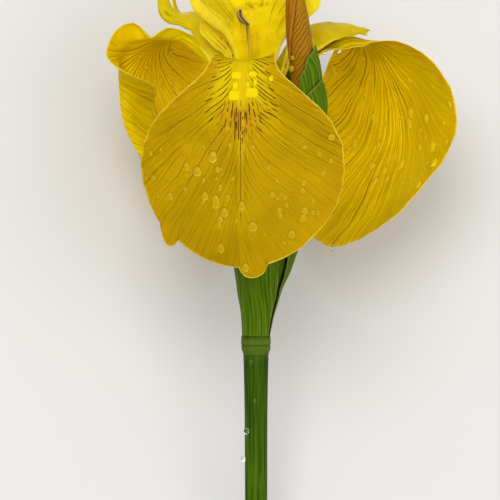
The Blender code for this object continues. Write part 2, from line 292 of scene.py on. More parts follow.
def ring_piece(name, look, path, surface, rows, sides):
    """A piece made of rings. Its material reads the grain, the share of the length and how far an end closes."""
    grid, grain, s, cut = rings(path, surface, rows, sides)
    quads, ends = ring_faces(grid)
    return piece(name, grid, quads, look, ends, grain=grain, place=np.stack([s, cut, 0 * s], -1))


grown_line = [*stem_line[:-1], (0, NODE + GROWN_IN, 0)]
stem = ring_piece("stem_stalk", stem_look, grown_line, stem_surface, 240, 4 * RIBS)
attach(stem, "root")
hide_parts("stem")


# The ovary and the flower tube: the green three-cornered seed vessel sits inside the sheath, and the
# petals' bases grow together above it into a short yellow-green funnel.

AXIS_X = 0.5  # the axis that the petals stand round
TUBE_BASE, MOUTH = -26.0, -13.0
SEAT_GAP = 0.3  # how far above the joint the ovary, the bud and the bracts start

ovary_line = [
    (-1.4, NODE + SEAT_GAP, -0.4), (-1.2, -60, -0.3), (0, -48, 0), (AXIS_X, -38, 0),
    (AXIS_X, TUBE_BASE + GROWN_IN, 0),
]
ovary_girth = profile((0, 0.9), (0.2, 1.0), (0.36, 1.7), (0.55, 2.8), (0.85, 2.7), (1, 2.3))
tube_line = [(AXIS_X, TUBE_BASE, 0), (AXIS_X, MOUTH + GROWN_IN, 0)]
tube_girth = profile((0, 2.3), (0.45, 2.9), (0.8, 4.6), (1, 6.2))


def ovary_surface(s, turn):
    """The girth with three corners, each with a shallow groove down it."""
    corner = np.cos(1.5 * turn) ** 2
    return ovary_girth(s) * (1 + 0.07 * np.cos(3 * turn) - 0.05 * corner**12 * ease(s, 0.25, 0.45))


def tube_surface(s, turn):
    """The girth with three seams between the petals' bases, and six low ribs."""
    seam = 0.05 * np.abs(np.cos(1.5 * turn)) ** 30 * ease(s, 0.2, 0.8)
    return tube_girth(s) * (1 + 0.02 * np.cos(6 * turn) - seam)


ovary_look = Look(
    "ovary_green", Roughness=0.45, Specular_IOR_Level=0.3, Subsurface_Weight=0.15, Subsurface_Scale=0.001,
)
x, z, along = ovary_look.read("grain")
streak = ovary_look.noise(x, z, along * 0.08, scale=1.8, detail=4)
colour = ovary_look.mix(streak.rise(0.35, 0.7), (0.035, 0.085, 0.003), (0.095, 0.18, 0.008))
ovary_look.paint(colour, streak, 0.12)

tube_look = Look(
    "tube_yellow_green", Roughness=0.4, Specular_IOR_Level=0.3, Subsurface_Weight=0.25, Subsurface_Scale=0.001,
)
x, z, along = tube_look.read("grain")
s, cut, _ = tube_look.read("place")
streak = tube_look.noise(x, z, along * 0.08, scale=1.8, detail=4)
colour = tube_look.mix(s.rise(0.0, 0.8), (0.17, 0.24, 0.006), (0.58, 0.39, 0.006))
colour = tube_look.mix(streak.rise(0.5, 0.75) * 0.5, colour, (0.22, 0.20, 0.006))
tube_look.paint(colour, streak, 0.1)

for name, line, surface, look, node, slot in (
    ("seed_vessel", ovary_line, ovary_surface, ovary_look, "ovary", "bract_green"),
    ("petal_tube", tube_line, tube_surface, tube_look, "flower_tube", "petal_yellow"),
):
    made = ring_piece(name, look, line, surface, 80, 72)
    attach(made, "root")
    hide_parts(node)


# The three falls: the large outer petals, each one soft sheet of satin yellow that rises in a narrow
# trough, arches over and hangs as a round blade. Their veins fan out from the throat, and the front one
# shows its brown signal.

FRONT, RIGHT, LEFT = -8.0, 128.0, -126.0  # degrees round the axis, from straight in front
FALL_THICKNESS, RIM_THICKNESS = 0.42, 0.16
FOOT = (5, MOUTH)  # where a petal leaves the tube


def fall_outline(claw, half, upper, lower, far=None):
    """Half width of a fall: a strap widening to claw, then a round blade, upper and lower from its widest
    line, and half wide, or far on its t < 0 side."""
    def half_width(s, t, length):
        along = s * length - (length - lower)
        x = np.clip(np.where(along < 0, -along / upper, along / lower), 0, 1)
        blade = np.where(t < 0, far or half, half) * np.sqrt(1 - x**2)
        strap = np.where(along < 0, claw * (0.36 + 0.64 * s / (1 - lower / length)), 0)
        return np.maximum(np.cbrt(blade**3 + strap**3), 0.2)
    return half_width


def from_middle(values):
    """Running sum along each row, zero at its middle column."""
    sums = np.cumsum(0.5 * (values[:, 1:] + values[:, :-1]), axis=1)
    sums = np.concatenate([np.zeros_like(sums[:, :1]), sums], 1)
    return sums - sums[:, [sums.shape[1] // 2]]


def petal(midrib, azimuth, half_width, slope, lift, reach=None, rows=210, columns=170, tip=1.6):
    """Grid of a petal. The midrib's (outward, up) points are turned to the azimuth. Each row crosses the
    midrib as an arc: half_width(s, t, length) long each way, with slope(s, t) its angle at t from -1 to 1,
    so that it keeps its width where it folds. lift(s, t, a, b) raises it along its normal, and reach(t)
    shortens it to lobes. Returns the grid, s, t, and the millimetres across (a), along (b) and to the
    nearest margin."""
    s = 1 - (1 - np.linspace(0, 1, rows + 1)) ** tip
    s, t = np.meshgrid(s, np.linspace(-1, 1, columns + 1), indexing="ij")
    top = reach(t) if reach else 1 + 0 * t
    s = s * top
    path = smooth_path(midrib)
    length = path_length(path)
    out, up = read_path(path, s)
    step_out, step_up = read_path(np.gradient(path, axis=0), s)
    step = np.hypot(step_out, step_up)
    width, angle = half_width(s, t, length), slope(s, t)
    a, b = from_middle(width) * 2 / columns, s * length
    across = from_middle(np.cos(angle) * width) * 2 / columns
    rise = from_middle(np.sin(angle) * width) * 2 / columns + lift(s, t, a, b)
    out, up = out - rise * step_up / step, up + rise * step_out / step
    turn = radians(azimuth)
    grid = np.stack([
        AXIS_X + out * np.sin(turn) + across * np.cos(turn),
        up,
        out * np.cos(turn) - across * np.sin(turn),
    ], -1)
    spread = np.gradient(width, axis=0) / np.maximum(np.gradient(b, axis=0), 1e-6)
    margin = np.minimum((width - np.abs(a)) / np.hypot(1, spread), (top - s) * length)
    return grid, s, t, a, b, margin


def shell(grid, thickness):
    """A closed sheet: the grid moved half its thickness each way along its normal, and joined round the
    rim."""
    normal = np.cross(np.gradient(grid, axis=0), np.gradient(grid, axis=1))
    normal /= np.maximum(np.linalg.norm(normal, axis=-1, keepdims=True), 1e-12)
    half = 0.5 * thickness[..., None] * normal
    rows, wide = grid.shape[:2]
    number = np.arange(rows * wide).reshape(rows, wide)
    face = np.stack([number[:-1, :-1], number[:-1, 1:], number[1:, 1:], number[1:, :-1]], -1).reshape(-1, 4)
    rim = np.concatenate([number[0, :-1], number[:-1, -1], number[-1, :0:-1], number[:0:-1, 0]])
    side = np.stack([rim, rim + number.size, np.roll(rim, -1) + number.size, np.roll(rim, -1)], -1)
    points = np.concatenate([(grid + half).reshape(-1, 3), (grid - half).reshape(-1, 3)])
    return points, np.concatenate([face, face[:, ::-1] + number.size, side]), normal


def twice(*values):
    """Values of a grid's points, put together and given to both faces of its shell."""
    stacked = np.stack([value.ravel() for value in values], -1)
    return np.concatenate([stacked, stacked])


def fan(a, b, origin, neck, bend, seed):
    """Where a point lies among a side fall's veins. They run side by side to the origin, neck apart, then
    spread: the angle from the midrib is atan(a / ahead), less the farther it is, so that veins leave the
    midrib in curves. Returns that angle, the millimetres to one unit of it, and the run from the origin."""
    ahead = b - origin
    ahead = neck + 0.5 * (ahead + np.hypot(ahead, 2 * neck))
    far = np.hypot(a, ahead)
    angle = np.arctan2(a, ahead) / (1 + bend * far / 30)
    sway = 0.55 * mottle(a, b, 26, seed) + 0.12 * mottle(a, b, 9, seed + 1)
    return angle + sway * ease(far, 3, 14) / np.maximum(far, 9), far, far


# Slant of the front fall's veins on each side of its midrib, by the run at which they leave it
left_slant = profile(
    (20, 0.1), (24, 0.2), (28, 0.38), (31, 0.6), (33, 0.8), (34.5, 1.0), (37.5, 1.35), (45, 1.7), (52, 2.0),
    (60, 2.3), (70, 2.5),
)
right_slant = profile(
    (20, 0.3), (24, 0.5), (28, 0.6), (31, 0.6), (34, 0.58), (37, 0.6), (40, 0.72), (44, 0.88), (50, 1.1),
    (60, 1.5), (70, 1.8), (80, 2.0),
)


def feather(a, b, seed, steep=7.0, soon=1.6):
    """Where a point lies among the front fall's veins. Vein q leaves the midrib steeply and bends outwards
    along b = q + slant(q) |a| - steep exp(-|a| / soon), and q is found by halving. Returns q / 15, the
    millimetres to one unit of it, and the run from the midrib."""
    side, low, high = np.abs(a), 0 * a - 80, 0 * a + 110

    def slant(q):
        """Millimetres along to one across, for vein q."""
        return np.where(a < 0, left_slant(q), right_slant(q))

    for _ in range(26):
        q = 0.5 * (low + high)
        short = q + slant(q) * side - steep * np.exp(-side / soon) < b
        low, high = np.where(short, q, low), np.where(short, high, q)
    turn = slant(q) + steep / soon * np.exp(-side / soon)
    gap = (1 + (slant(q + 0.5) - slant(q - 0.5)) * side) / np.hypot(1, turn)
    sway = 0.5 * mottle(a, b, 24, seed) + 0.12 * mottle(a, b, 8, seed + 1) + 1.3 * np.tanh(a / 2)
    return (q + sway) / 15, 15 * gap, np.hypot(side, b - q + steep)


def pleats(angle, run):
    """Low bulges of the sheet between veins, 10 and then 20 to a unit: 4 f (1 - f), with f the share
    between."""
    def bulge(count):
        """One row of bulges, count to a unit."""
        f = (angle * count) % 1
        return 4 * f * (1 - f) - 0.6

    near = ease(run, 5, 9) * (1 - ease(run, 18, 28))
    return near * bulge(10) + ease(run, 18, 28) * bulge(20)


# Bright cells of the front fall's signal: the middle across and along, and the half width and half length
BRIGHT_CELLS = [
    (-1.25, 29.2, 1.25, 1.05), (-1.65, 34.2, 1.45, 1.35), (-1.4, 31.8, 0.75, 0.9), (2.75, 28.9, 1.1, 0.8),
    (2.65, 33.6, 1.6, 1.3), (1.65, 31.4, 0.55, 0.65), (7.2, 30.2, 0.6, 0.75), (3.4, 31.1, 0.5, 1.0),
]


def cell_field(a, b):
    """How far each point is from the nearest bright cell's middle, 1 at its edge: (|u|^4 + |v|^4)^(1/4),
    with u and v in half widths and half lengths."""
    return np.min([
        (((a - u) / wide) ** 4 + ((b - v) / high) ** 4) ** 0.25 for u, v, wide, high in BRIGHT_CELLS
    ], axis=0)


def paint_signal(look, colour, a, b, angle, gap, share, ray):
    """The front fall's signal: a bright yellow throat with glowing cells, an orange haze below it, and dark
    brown dashes. They lie along the veins at the sides, along rays below the cells and up and down in the V
    at the foot. Returns the colour and the cells."""
    haze = look.noise(a, b, scale=0.4, detail=3)
    inside = 1 - (share + haze * 0.5).rise(1.12, 1.24)
    throat = (1 - share.rise(0.45, 1.25)) * b.rise(21, 25)
    colour = look.mix(throat * 0.85, colour, (0.61, 0.445, 0.001))
    cells = 1 - look.read("cells")[0].rise(0.78, 1.08)
    orange = (1 - abs(a).rise(3.6, 6.2)) * b.rise(34.5, 38) * (1 - b.rise(42.5, 46)) * haze.rise(0.2, 0.6)
    colour = look.mix(orange * 0.7, colour, (0.47, 0.22, 0.003))

    def dashes(phase, size, width, wander, beat, gap, seed):
        """Broken lines at each whole phase, size millimetres apart and width wide."""
        wobble = look.noise(phase * 1.7, b * wander, seed, scale=1.0, detail=1) - 0.5
        phase = phase + wobble * 0.16 + 0.5
        between = abs(phase.math("FRACT") - 0.5) * size
        seen = look.noise(phase.math("FLOOR") * 7.3, beat, seed, scale=1.0, detail=1)
        seen = seen.rise(gap - 0.03, gap + 0.05)
        return (1 - between.rise(width * 0.3, width * 0.62)) * seen

    sides = dashes(angle * 14, gap * (1 / 14), 0.24, 0.4, abs(a) * 0.28, 0.42, 5.0)
    sides = sides * share.rise(0.22, 0.38) * (abs(a) - b.rise(33, 36) * 1.5).rise(1.9, 3.0) * inside
    rays = dashes(ray * 17, (b - 20) * (1 / 17), 0.27, 0.5, b * 0.55, 0.47, 9.0)
    rays = rays * (1 - abs(ray).rise(0.21, 0.27)) * b.rise(35.0, 36.2) * inside
    point = 1 - (abs(a) + (b - 37) * 0.22).rise(2.0, 2.7)
    strokes = dashes(a * 2.1, 1 / 2.1, 0.30, 0.35, b * 0.45, 0.44, 17.0) * point * b.rise(37, 39.5)
    rim = dashes(angle * 9 + 0.3, gap * (1 / 9), 0.30, 0.3, abs(a) * 0.3, 0.48, 23.0)
    rim = rim * share.rise(0.78, 0.86) * (1 - share.rise(1.0, 1.08)) * abs(a).rise(3.6, 4.6)
    dark = sides.math("MAXIMUM", rays).math("MAXIMUM", strokes * 0.9).math("MAXIMUM", rim)
    dark = dark * (1 - cells)
    colour = look.mix(cells * 0.8, colour, (0.72, 0.565, 0.001))
    colour = look.mix(strokes * 0.5, colour, (0.22, 0.06, 0.004))
    return look.mix(dark, colour, (0.070, 0.018, 0.003)), cells


# The veins' branches: how many to a unit, the run in millimetres at which they begin, and half their width
VEIN_ORDERS = ((5, 4.0, 0.16), (10, 9.0, 0.14), (20, 17.0, 0.12), (40, 30.0, 0.10))


def fall_look(name, pale, deep, ink, groove, first=(0.5, 2.0), signal=False):
    """Satin petal. Veins come as whole lines at 5 to a unit and branch four times, each branch leaving
    one parent at its own distance and settling half way to the next. pale and deep are the yellows, ink
    darkens the veins, groove is their depth in millimetres and first is the run over which the whole
    lines come up."""
    look = Look(
        name, Roughness=0.5, Specular_IOR_Level=0.02, Subsurface_Weight=0.35, Subsurface_Scale=0.0006,
        Subsurface_Radius=(1.0, 0.55, 0.03),
    )
    angle, gap, run = look.read("fan")
    a, b, margin = look.read("flat")
    share, ray, strong = look.read("signal")

    phase = angle * 5
    shift = look.chance((phase + 0.5).math("FLOOR") + 90) - 0.5
    between = abs((phase + 0.5).math("FRACT") - 0.5 - shift * 0.2) * gap * 0.2
    started = run.rise(*first)
    nearest = between + (1 - started) * 3
    patchy = look.noise(angle * 60, run * 0.12, scale=1.0, detail=1)
    line = (1 - between.rise(0.05, 0.20)) * patchy.rise(0.35, 0.55) * started
    for count, start, width in VEIN_ORDERS:
        phase = angle * count
        chance = look.chance(phase.math("FLOOR") + count * 7)
        left = run - start * (0.7 + 0.8 * chance)
        leave = left.rise(0.0, start * 0.7) * (0.36 + 0.28 * look.chance(phase.math("FLOOR") + count * 9))
        between = abs(phase.math("FRACT") - leave) * gap * (1 / count)
        seen = left.rise(-0.6, 0.6)
        nearest = nearest.math("MINIMUM", between + (1 - seen) * 3)
        faint = 0.12 + look.chance(phase.math("FLOOR") + count * 11).math("POWER", 1.7)
        strength = seen * faint * look.noise(phase * 3.0, run * 0.11, scale=1.0, detail=1).rise(0.36, 0.58)
        line = line.math("MAXIMUM", (1 - between.rise(0.03, width)) * strength)
    line = line * strong
    bulge = nearest.rise(0.0, 0.42) * strong

    cloud = look.noise(a, b, scale=0.09, detail=3)
    colour = look.mix(cloud.rise(0.3, 0.7), pale, deep)
    fine = look.noise(angle * 90, run * 0.25, scale=1.0, detail=2)
    colour = look.mix(fine.rise(0.5, 0.8) * 0.22, colour, deep)
    # Painted highlight: paler along the bulges between the veins.
    ridge = (1 - abs(nearest - 0.24).rise(0.04, 0.14)) * fine.rise(0.4, 0.6)
    colour = look.mix(ridge * strong * 0.3, colour, tuple(min(1.0, 1.35 * c) for c in pale))
    colour = look.mix(line * ink, colour, tuple(0.42 * c for c in deep))
    height = bulge + line * -0.35
    if signal:
        midrib = (1 - abs(a).rise(0.05, 0.16)) * b.rise(44, 48) * (1 - b.rise(62, 67))
        colour = look.mix(midrib * 0.7, colour, tuple(0.35 * c for c in deep))
        colour, cells = paint_signal(look, colour, a, b, angle, gap, share, ray)
        height = height * (1 - cells) + cells * 2.2 - midrib * 0.6
    else:
        # The claw is paler yellow, and painted brighter still as painted light where it faces down into shade.
        colour = look.mix((1 - b.rise(27, 37)) * 0.8, colour, (1.0, 0.76, 0.002))
        # Painted shade: the sheet darkened across one side.
        colour = look.mix(look.read("cells")[1], colour, tuple(0.55 * c for c in deep))
    # Painted highlight: a pale line along the margin, where the thin edge catches the light.
    rim = 1 - margin.rise(0.12, 0.40)
    colour = look.mix(rim * 0.5, colour, (0.80, 0.62, 0.06))
    grain = look.noise(a, b, scale=5.0, detail=2)
    look.paint(colour, height + grain * 0.10, groove)
    return look


def ruffle(s, t, a, b):
    """Waves of a margin, growing from the arch on."""
    return 0.8 * np.abs(t) ** 3 * np.sin(14 * s + 0.8 * np.sign(t)) * ease(s, 0.35, 0.6)


def trough(s, t, cup, far_cup=None):
    """Slope across a fall: a gutter up to its arch, then cupped back, by far_cup on its t > 0 side."""
    bend = np.where(t > 0, far_cup, cup) if far_cup else cup
    return (1.1 * (1 - ease(s, 0.13, 0.34)) - bend * ease(s, 0.35, 0.6)) * t


def throat_slope(s, t):
    """The front fall's slope: a gutter that opens only past the arch, so that its margins stand up beside it,
    then cupped back."""
    return 1.1 * (1 - ease(s, 0.13, 0.42)) * t - 0.3 * ease(s, 0.42, 0.6) * t


def curled(s, t):
    """The left fall's slope: its near side folds back over the outer face."""
    return trough(s, t, 0.1) - 2.9 * ease(s, 0.41, 0.62) * ease(t, 0.42, 0.68)


def curled_lift(s, t, a, b):
    """The near margin rises in a low hump over the arch and, past a notch, in the round lobe of the
    shoulder."""
    hump = 3.3 * ease(b, 13, 19) * (1 - ease(b, 26.4, 29.6)) * ease(t, 0.1, 0.9)
    shoulder = 3.7 * ease(b, 30.4, 32) * (1 - ease(b, 32.5, 38)) * ease(t, 0.6, 1)
    return ruffle(s, t, a, b) * (t < 0) + hump + shoulder


lobed_half = profile(
    (0, 2.4), (18, 4.0), (24, 4.9), (26.5, 7), (28.5, 9), (30.2, 9.2), (31, 10.4), (32, 12.6), (34.3, 16.2),
    (37, 18.6), (40, 20.5), (44, 21.5), (50, 23),
)
left_outline = fall_outline(6.5, 21, 20, 42, 26)


def notched_outline(s, t, length):
    """The left outline, drawn in on its near side to the notch between claw and shoulder."""
    plain = left_outline(s, t, length)
    return np.where(t > 0, np.minimum(plain, lobed_half(s * length)), plain)


def drooping_lift(s, t, a, b):
    """The right fall's near margin hangs down along its claw."""
    return ruffle(s, t, a, b) - 2.6 * ease(-t, 0.1, 1) * ease(b, 20, 28) * (1 - ease(b, 33, 39))


throat_half = profile(
    (0, 2.7), (9, 4.4), (15, 6.6), (20, 7.4), (24, 7.8), (26.3, 8.3), (28.7, 9.6), (31.7, 12.8), (34.5, 16),
    (37.2, 19), (40, 21.5), (42.5, 23.2), (46, 24.6), (50.7, 25), (54, 25),
)


def front_outline(s, t, length):
    """Half width of the front fall: a broad claw that clasps the style arm, then shoulders down to the
    widest line, and a half circle below it."""
    below = np.clip(s * length - (length - 25), 0, 25)
    return np.where(below > 0, np.maximum(np.sqrt(25**2 - below**2), 0.2), throat_half(s * length))


def uneven(outline, seed, depth):
    """The outline with a margin that wanders in and out by about depth."""
    def half_width(s, t, length):
        b, edge = s * length, np.sign(t)
        wander = mottle(b, 9 * edge, 9, seed) + 0.45 * mottle(b, 9 * edge, 3.5, seed + 1)
        wander = depth * wander * ease(s, 0.3, 0.5) * (1 - ease(s, 0.93, 0.99)) * np.abs(t)
        return outline(s, t, length) + wander
    return half_width


def lobe(grid, centre, heading, radius, height, reach=3.5):
    """Pushes the margin out into a round lobe: height * sqrt(1 - (u / radius)^2), u across the heading."""
    way = np.array(heading) / np.hypot(*heading)
    x, y = grid[..., 0] - centre[0], grid[..., 1] - centre[1]
    u, v = x * way[1] - y * way[0], x * way[0] + y * way[1]
    push = height * np.sqrt(np.clip(1 - (u / radius) ** 2, 0, 1)) * ease(v, -reach, 0)
    grid[..., 0] += push * way[0]
    grid[..., 1] += push * way[1]


# Each fall: veins tells where a point lies among its veins, strong how plain they are there, painted shade how
# much painted shade darkens the sheet across it, pleat how high it bulges between the veins, and lobes what
# lobe() does to its lower margin.
# The yellows in the looks are painted lit and shaded copies of one yellow: the side falls' are painted brighter
# than the front one's, as painted light for the light that they turn away from.
falls = {
    "front": dict(
        midrib=[
            FOOT, (10, -8.3), (16, -4.2), (22, -1.8), (27, -3), (29.5, -7.6), (30.2, -17), (30.7, -29),
            (30, -41), (27.5, -51.7),
        ],
        azimuth=FRONT, outline=front_outline, slope=throat_slope, lift=ruffle,
        veins=lambda a, b: feather(a, b, 11),
        strong=lambda a, b: (1 - 0.45 * ease(b, 48, 62)) * (1 - 0.45 * ease(a, 0, 3) * ease(b, 44, 52)),
        painted_shade=lambda a: 0 * a, seed=11, pleat=0.05,
        lobes=[((-21.3, -43.6), (-0.25, -1), 2.5, 3.0), ((-0.7, -51.0), (0.05, -1), 3.3, 2.6)],
        look=dict(
            pale=(0.44, 0.272, 0.0003), deep=(0.37, 0.222, 0.0003), ink=0.72, groove=0.13, first=(2.5, 6.0),
            signal=True,
        ),
    ),
    "right": dict(
        midrib=[
            FOOT, (11, -6), (18, 1), (27, 6.5), (34.5, 6.3), (40.2, 0.8), (43.2, -9), (42.7, -20),
            (37.3, -31), (30.3, -40.5), (24, -46.4),
        ],
        azimuth=RIGHT, outline=fall_outline(6.5, 26.5, 26, 37.5), slope=lambda s, t: trough(s, t, 0.1, 0.5),
        lift=drooping_lift,
        veins=lambda a, b: fan(a, b, 37.0, 1.5, 0.5, 23), strong=lambda a, b: 1 - 0.75 * ease(-a, 4, 12),
        painted_shade=lambda a: 0.42 * ease(-a, 2, 16), seed=23, pleat=0.11,
        look=dict(pale=(0.80, 0.545, 0.0006), deep=(0.68, 0.445, 0.0005), ink=0.8, groove=0.18),
    ),
    "left": dict(
        midrib=[
            FOOT, (10, -6), (17, 1), (24, 5.5), (30, 6), (34.5, 2), (36.3, -6), (35, -16),
            (29, -27), (24, -36), (20, -42),
        ],
        azimuth=LEFT, outline=notched_outline, slope=curled, lift=curled_lift,
        veins=lambda a, b: fan(a, b, 36.0, 1.5, 0.45, 37), strong=lambda a, b: 1 - 0.5 * ease(-a, 11, 19),
        painted_shade=lambda a: 0.45 * ease(a, 8, 12), seed=37, pleat=0.10,
        look=dict(pale=(0.95, 0.66, 0.0006), deep=(0.84, 0.56, 0.0005), ink=0.75, groove=0.18),
    ),
}

# The front fall's signal: where it starts along the midrib, and its reach by the degrees from the midrib
THROAT = 22.3
signal_reach = profile(
    (0, 27), (4, 22.7), (12, 20.8), (24, 19.4), (30, 17), (36, 13.3), (45, 9.8), (57, 7.6), (70, 6.8), (90, 6),
)

made_falls = {}
for side, fall in falls.items():
    def lift(s, t, a, b, fall=fall):
        """The fall's own lift, the pleats between its veins and a crinkled margin."""
        angle, _, run = fall["veins"](a, b)
        crinkle = 0.22 * mottle(a, b, 6, fall["seed"] + 5) * np.abs(t) ** 6 * ease(s, 0.35, 0.5)
        return fall["lift"](s, t, a, b) + fall["pleat"] * pleats(angle, run) + crinkle

    grid, s, t, a, b, margin = petal(
        fall["midrib"], fall["azimuth"], uneven(fall["outline"], fall["seed"], 0.28), fall["slope"], lift,
    )
    below = b - THROAT
    spread = np.degrees(np.abs(np.arctan2(a, below)))
    share = np.hypot(a, below) / signal_reach(spread) + 9 * ease(-below, 0, 3)
    ray = np.arctan2(a, np.maximum(b - 20, 1))
    for margin_lobe in fall.get("lobes", ()):
        lobe(grid, *margin_lobe)
    thickness = RIM_THICKNESS + (FALL_THICKNESS - RIM_THICKNESS) * ease(margin, 0, 6)
    points, quads, normal = shell(grid, thickness)
    look = fall_look("petal_yellow_" + side, **fall["look"])
    made = piece(
        "petal_fall_" + side, points, quads, look,
        fan=twice(*fall["veins"](a, b)), flat=twice(a, b, margin),
        signal=twice(share, ray, fall["strong"](a, b)),
        cells=twice(cell_field(a, b), fall["painted_shade"](a), 0 * a),
    )
    made_falls[side] = dict(grid=grid, normal=normal, a=a, b=b, margin=margin)
    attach(made, "root")
    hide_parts("fall_" + side)


# The three standards: the small narrow inner petals that stand up between the falls, of the same soft
# yellow sheet, with a few brown flecks on the one beside the front arm.

standards = {
    "right": (60.0, 0.0, [FOOT, (7, -6), (9.6, 2), (11, 10), (11, 18), (10, 25)]),
    "left": (-70.0, 1.1, [FOOT, (5.4, -6), (6.9, 1.8), (9.8, 5), (12.8, 8), (15.4, 10.4)]),
    "back": (182.5, 0.0, [FOOT, (6, -5), (7.5, 3), (9.5, 11), (10, 18), (9, 24)]),
}
standard_half = profile((0, 1.5), (0.25, 1.6), (0.5, 2.2), (0.7, 3), (0.88, 2.7), (1, 0))


def standard_half_width(s, t, length):
    """A narrow spoon with an uneven margin."""
    return np.maximum(standard_half(s), 0.12) + 0.1 * mottle(s * length, 5 * t, 4, 3)


def standard_lift(s, t, a, b):
    """Crinkled margins, and a crease along the midrib."""
    return 0.15 * mottle(a, b, 5, 8) * np.abs(t) ** 3 - 0.10 * np.exp(-((a / 0.3) ** 2))


# These yellows are painted brighter than the petals' own, as painted light for the shade that they stand in.
PALE, DEEP = (0.95, 0.73, 0.008), (0.80, 0.57, 0.004)
standard_look = Look(
    "standard_yellow", Roughness=0.4, Specular_IOR_Level=0.12, Subsurface_Weight=0.4, Subsurface_Scale=0.0007,
    Subsurface_Radius=(1.0, 0.6, 0.04),
)
a, b, margin = standard_look.read("flat")
flecks, _, _ = standard_look.read("glow")
sway = standard_look.noise(a * 0.3, b * 0.12, scale=1.0) * 1.6
between = abs((a * 0.9 + sway).math("FRACT") - 0.5)
patchy = standard_look.noise(a * 2.0, b * 0.2, scale=1.0)
line = between.rise(0.36, 0.47) * patchy.rise(0.35, 0.6)
cloud = standard_look.noise(a, b, scale=0.14, detail=3)
dash = standard_look.noise((a * 0.9 + sway).math("FLOOR") * 5.1, b * 0.55, scale=1.0).rise(0.50, 0.56)
colour = standard_look.mix(cloud.rise(0.3, 0.7), PALE, DEEP)
colour = standard_look.mix(line * 0.42, colour, tuple(0.5 * c for c in DEEP))
colour = standard_look.mix(between.rise(0.34, 0.42) * dash * flecks * 0.9, colour, (0.10, 0.035, 0.004))
# Painted highlight: a pale line along the margin.
colour = standard_look.mix((1 - margin.rise(0.10, 0.35)) * 0.5, colour, (0.80, 0.66, 0.14))
grain = standard_look.noise(a, b, scale=5.0)
standard_look.paint(colour, grain * 0.1 - line * 0.6 + cloud * 0.4, 0.14)

for side, (azimuth, twist, midrib) in standards.items():
    grid, s, t, a, b, margin = petal(
        midrib, azimuth, standard_half_width, lambda s, t: 0.5 * t + twist * ease(s, 0.3, 0.6), standard_lift,
        rows=90, columns=40, tip=1.4,
    )
    points, quads, _ = shell(grid, 0.14 + 0.26 * ease(margin, 0, 2))
    flecks = ease(s, 0.15, 0.3) * (1 - ease(s, 0.62, 0.85))
    made = piece(
        "petal_standard_" + side, points, quads, standard_look,
        flat=twice(a, b, margin), glow=twice(flecks, 0 * a, 0 * a),
    )
    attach(made, "root")
    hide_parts("standard_" + side)


# The three style arms: fleshy, shining petal-like arms that arch over the falls from the middle of the
# flower. Each ends in two frilled crest lobes, with the stigma's thin lip across its under side.

def crest(t):
    """Length share at t: a notch in the middle, round outer corners and a finely toothed edge."""
    teeth = 0.012 * np.sin(38 * t) + 0.010 * np.sin(61 * t + 1) + 0.008 * np.sin(97 * t + 2)
    notched = 1 - 0.24 * np.exp(-((t / 0.2) ** 2)) - 0.2 * np.abs(t) ** 6
    return notched + teeth * (1 - np.exp(-((t / 0.25) ** 2)))


base = MOUTH + SEAT_GAP
# Each arm: vault is how far its margins bend down, lip the run of the stigma's lip and half its width,
# mouth the middle of the painted shade under it, furrow shade how dark the painted shade down the arm's furrow
# is, and lit how much painted light brightens the arm across.
arms = {
    "front": dict(
        midrib=[(1.9, base), (3.5, -5), (5.5, 2), (7.5, 9), (9, 15), (10, 21), (9.5, 27)], azimuth=-4.0,
        half=profile((0, 1.3), (0.2, 3.2), (0.36, 5), (0.56, 8), (0.69, 14), (0.8, 17), (0.9, 16.5), (1, 14)),
        vault=0.35, lip=(26.4, 3.0), mouth=-2.6, painted_furrow_shade=1, lit=lambda a: 0.55 * ease(a, -8, -4),
    ),
    "right": dict(
        midrib=[(1.9, base), (5, -4), (10, 3.5), (17, 8.8), (25, 10.4), (30.5, 10), (33.4, 9.6)],
        azimuth=RIGHT,
        half=profile((0, 1.3), (0.2, 3), (0.45, 6.4), (0.7, 8.2), (0.9, 7.8), (1, 6.6)),
        vault=1.1, lip=(33.0, 2.6), mouth=0, painted_furrow_shade=0, lit=lambda a: 0 * a,
    ),
    "left": dict(
        midrib=[
            (1.9, base), (4, -4), (8.5, 5), (14, 10.5), (20, 12.3), (25, 12.8), (27.2, 15.5), (27.8, 20),
            (27.2, 26),
        ],
        azimuth=LEFT,
        half=profile((0, 1.3), (0.14, 4), (0.3, 8), (0.45, 8.8), (0.6, 7.6), (0.74, 6), (0.86, 4.4), (1, 3.6)),
        vault=1.2, lip=(31.0, 2.4), mouth=0, painted_furrow_shade=0, lit=lambda a: 0.2 + 0 * a,
    ),
}
arm_look = Look(
    "style_arm_yellow", Roughness=0.3, Specular_IOR_Level=0.05, Subsurface_Weight=0.45,
    Subsurface_Scale=0.0008, Subsurface_Radius=(1.0, 0.6, 0.04),
)
a, b, margin = arm_look.read("flat")
shade, painted_furrow_shade, lit = arm_look.read("glow")
cloud = arm_look.noise(a, b, scale=0.16, detail=3)
fine = arm_look.noise(a * 1.6, b * 0.16, scale=1.0, detail=2)
dimple_and_sheen = arm_look.noise(a, b * 0.7, scale=0.9, detail=1)
colour = arm_look.mix(cloud.rise(0.3, 0.7), (0.62, 0.455, 0.001), (0.49, 0.355, 0.001))
colour = arm_look.mix(fine.rise(0.45, 0.8) * 0.25, colour, (0.48, 0.33, 0.002))
# Painted sheen: pale glossy patches where the surface dimples.
colour = arm_look.mix(dimple_and_sheen.rise(0.62, 0.80) * 0.3, colour, (0.88, 0.70, 0.04))
colour = arm_look.mix(lit, colour, (1.0, 0.775, 0.002))
colour = arm_look.mix(shade * 0.55, colour, (0.46, 0.235, 0.003))
# Painted shade down the middle of the arm's furrow.
colour = arm_look.mix(painted_furrow_shade * 0.35, colour, (0.52, 0.34, 0.002))
# Painted highlight: a pale line along the margin.
colour = arm_look.mix((1 - margin.rise(0.10, 0.35)) * 0.5, colour, (0.85, 0.68, 0.03))
arm_look.paint(colour, fine * 0.6 + cloud * 0.6 + dimple_and_sheen.rise(0.5, 0.8), 0.12)

